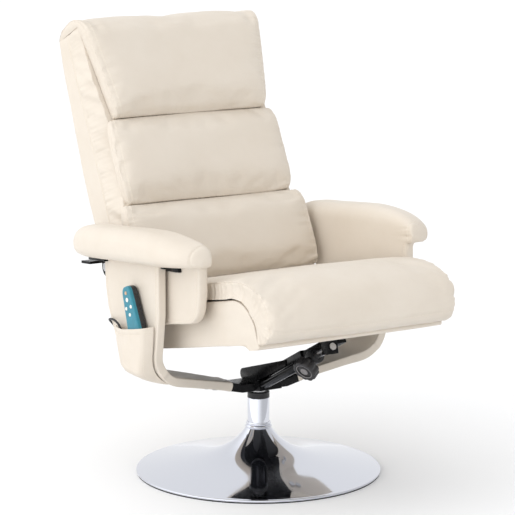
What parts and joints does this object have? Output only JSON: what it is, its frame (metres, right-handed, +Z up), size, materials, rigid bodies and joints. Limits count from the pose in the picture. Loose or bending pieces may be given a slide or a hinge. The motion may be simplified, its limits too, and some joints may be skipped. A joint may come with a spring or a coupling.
{
  "type": "massage recliner",
  "caption": "Swivel massage recliner: padded seat, crowned back pillows and arms on a chromed column and round foot, with a wired handset in a side pocket.",
  "frame": {"origin": "on the floor, on the swivel axis, at the centre of the foot's underside", "axes": "+Z up along the swivel axis; the sitter faces -Y; the sitter's right hand and the handset's pocket are at -X"},
  "size_m": [0.7, 0.938, 1.012],
  "materials": {
    "leather": "satin",
    "foam": "matte",
    "chrome": "polished",
    "black_steel": "satin",
    "bare_steel": "satin",
    "dark_tube": "gloss",
    "timber": "matte",
    "black_plastic": "satin",
    "handset_shell": "satin",
    "teal_plastic": "satin",
    "white_plastic": "satin",
    "tan_plastic": "satin",
    "circuit_board": "satin",
    "cord_rubber": "satin",
    "floor_felt": "matte"
  },
  "bodies": {
    "base": {"floor_pad": "floor_felt", "foot_dish": "chrome", "foot_ballast": "bare_steel", "foot_collar": "chrome", "column_tube": "chrome", "tie_bolt": "bare_steel", "column_cap": "black_plastic", "lower_bush": "black_plastic"},
    "swivel": {"spindle": "bare_steel", "spindle_nut": "bare_steel", "crossbar": "black_steel", "slide_sleeve": "black_steel", "brake_tube": "dark_tube", "brake_collar": "black_plastic", "left_side_frame": "leather", "right_side_frame": "leather", "frame_fasteners": "bare_steel", "arm_rails": "black_steel", "left_arm_roll": "leather", "right_arm_roll": "leather", "left_arm_apron": "leather", "right_arm_apron": "leather", "pivot_brackets": "black_steel", "pivot_bolts": "bare_steel", "handset_pocket": "leather", "cord_grommet": "black_plastic", "handset_cord": "cord_rubber"},
    "seat": {"seat_base": "leather", "seat_frame": "timber", "seat_deck": "timber", "seat_dust_cover": "black_plastic", "control_box": "black_plastic", "seat_motors": "black_plastic", "seat_cushion": "leather", "seat_yoke": "black_steel", "slide_bar": "black_steel", "brake_rod": "bare_steel", "seat_link_plates": "black_steel", "seat_bolts": "bare_steel", "power_inlet": "black_plastic"},
    "back": {"back_shell": "leather", "back_core": "foam", "back_frame": "black_steel", "back_motors": "black_plastic", "lower_pillow": "leather", "middle_pillow": "leather", "head_pillow": "leather", "back_hinge_plates": "black_steel", "link_pins": "bare_steel"},
    "knob": {"clamp_knob": "black_plastic", "clamp_screw": "bare_steel"},
    "handset": {"handset_back": "handset_shell", "handset_face": "teal_plastic", "handset_board": "circuit_board"},
    "power_key": {"button_power": "white_plastic"},
    "mode_key": {"button_mode": "tan_plastic"},
    "upper_key": {"button_upper": "white_plastic"},
    "lower_key": {"button_lower": "white_plastic"},
    "seat_key": {"button_seat": "white_plastic"}
  },
  "joints": [
    {"name": "swivel_turn", "type": "hinge", "parent": "base", "child": "swivel", "pos_m": [0, 0, 0.18], "axis": [0, 0, 1], "continuous": true},
    {"name": "recline", "type": "hinge", "parent": "swivel", "child": "back", "pos_m": [0, 0.22141, 0.46574], "axis": [-1, 0, 0], "range_deg": [0, 25]},
    {"name": "seat_slide", "type": "slide", "parent": "swivel", "child": "seat", "axis": [0, -0.891, 0.454], "range_m": [0, 0.0477]},
    {"name": "knob_turn", "type": "hinge", "parent": "swivel", "child": "knob", "pos_m": [-0.017, -0.25827, 0.31914], "axis": [-0.766, -0.2918, -0.5727], "range_deg": [0, 270]},
    {"name": "handset_lift", "type": "slide", "parent": "swivel", "child": "handset", "axis": [0, 0.3746, 0.9272], "range_m": [0, 0.04]},
    {"name": "power_press", "type": "slide", "parent": "handset", "child": "power_key", "axis": [1, 0, 0], "range_m": [0, 0.0012], "stiffness_N_per_m": 400, "springref_m": -0.0005},
    {"name": "mode_press", "type": "slide", "parent": "handset", "child": "mode_key", "axis": [1, 0, 0], "range_m": [0, 0.0012], "stiffness_N_per_m": 400, "springref_m": -0.0005},
    {"name": "upper_press", "type": "slide", "parent": "handset", "child": "upper_key", "axis": [1, 0, 0], "range_m": [0, 0.0012], "stiffness_N_per_m": 400, "springref_m": -0.0005},
    {"name": "lower_press", "type": "slide", "parent": "handset", "child": "lower_key", "axis": [1, 0, 0], "range_m": [0, 0.0012], "stiffness_N_per_m": 400, "springref_m": -0.0005},
    {"name": "seat_press", "type": "slide", "parent": "handset", "child": "seat_key", "axis": [1, 0, 0], "range_m": [0, 0.0012], "stiffness_N_per_m": 400, "springref_m": -0.0005}
  ],
  "couplings": [
    {"joint": "seat_slide", "follows": "recline", "m_per_rad": 0.10913}
  ]
}
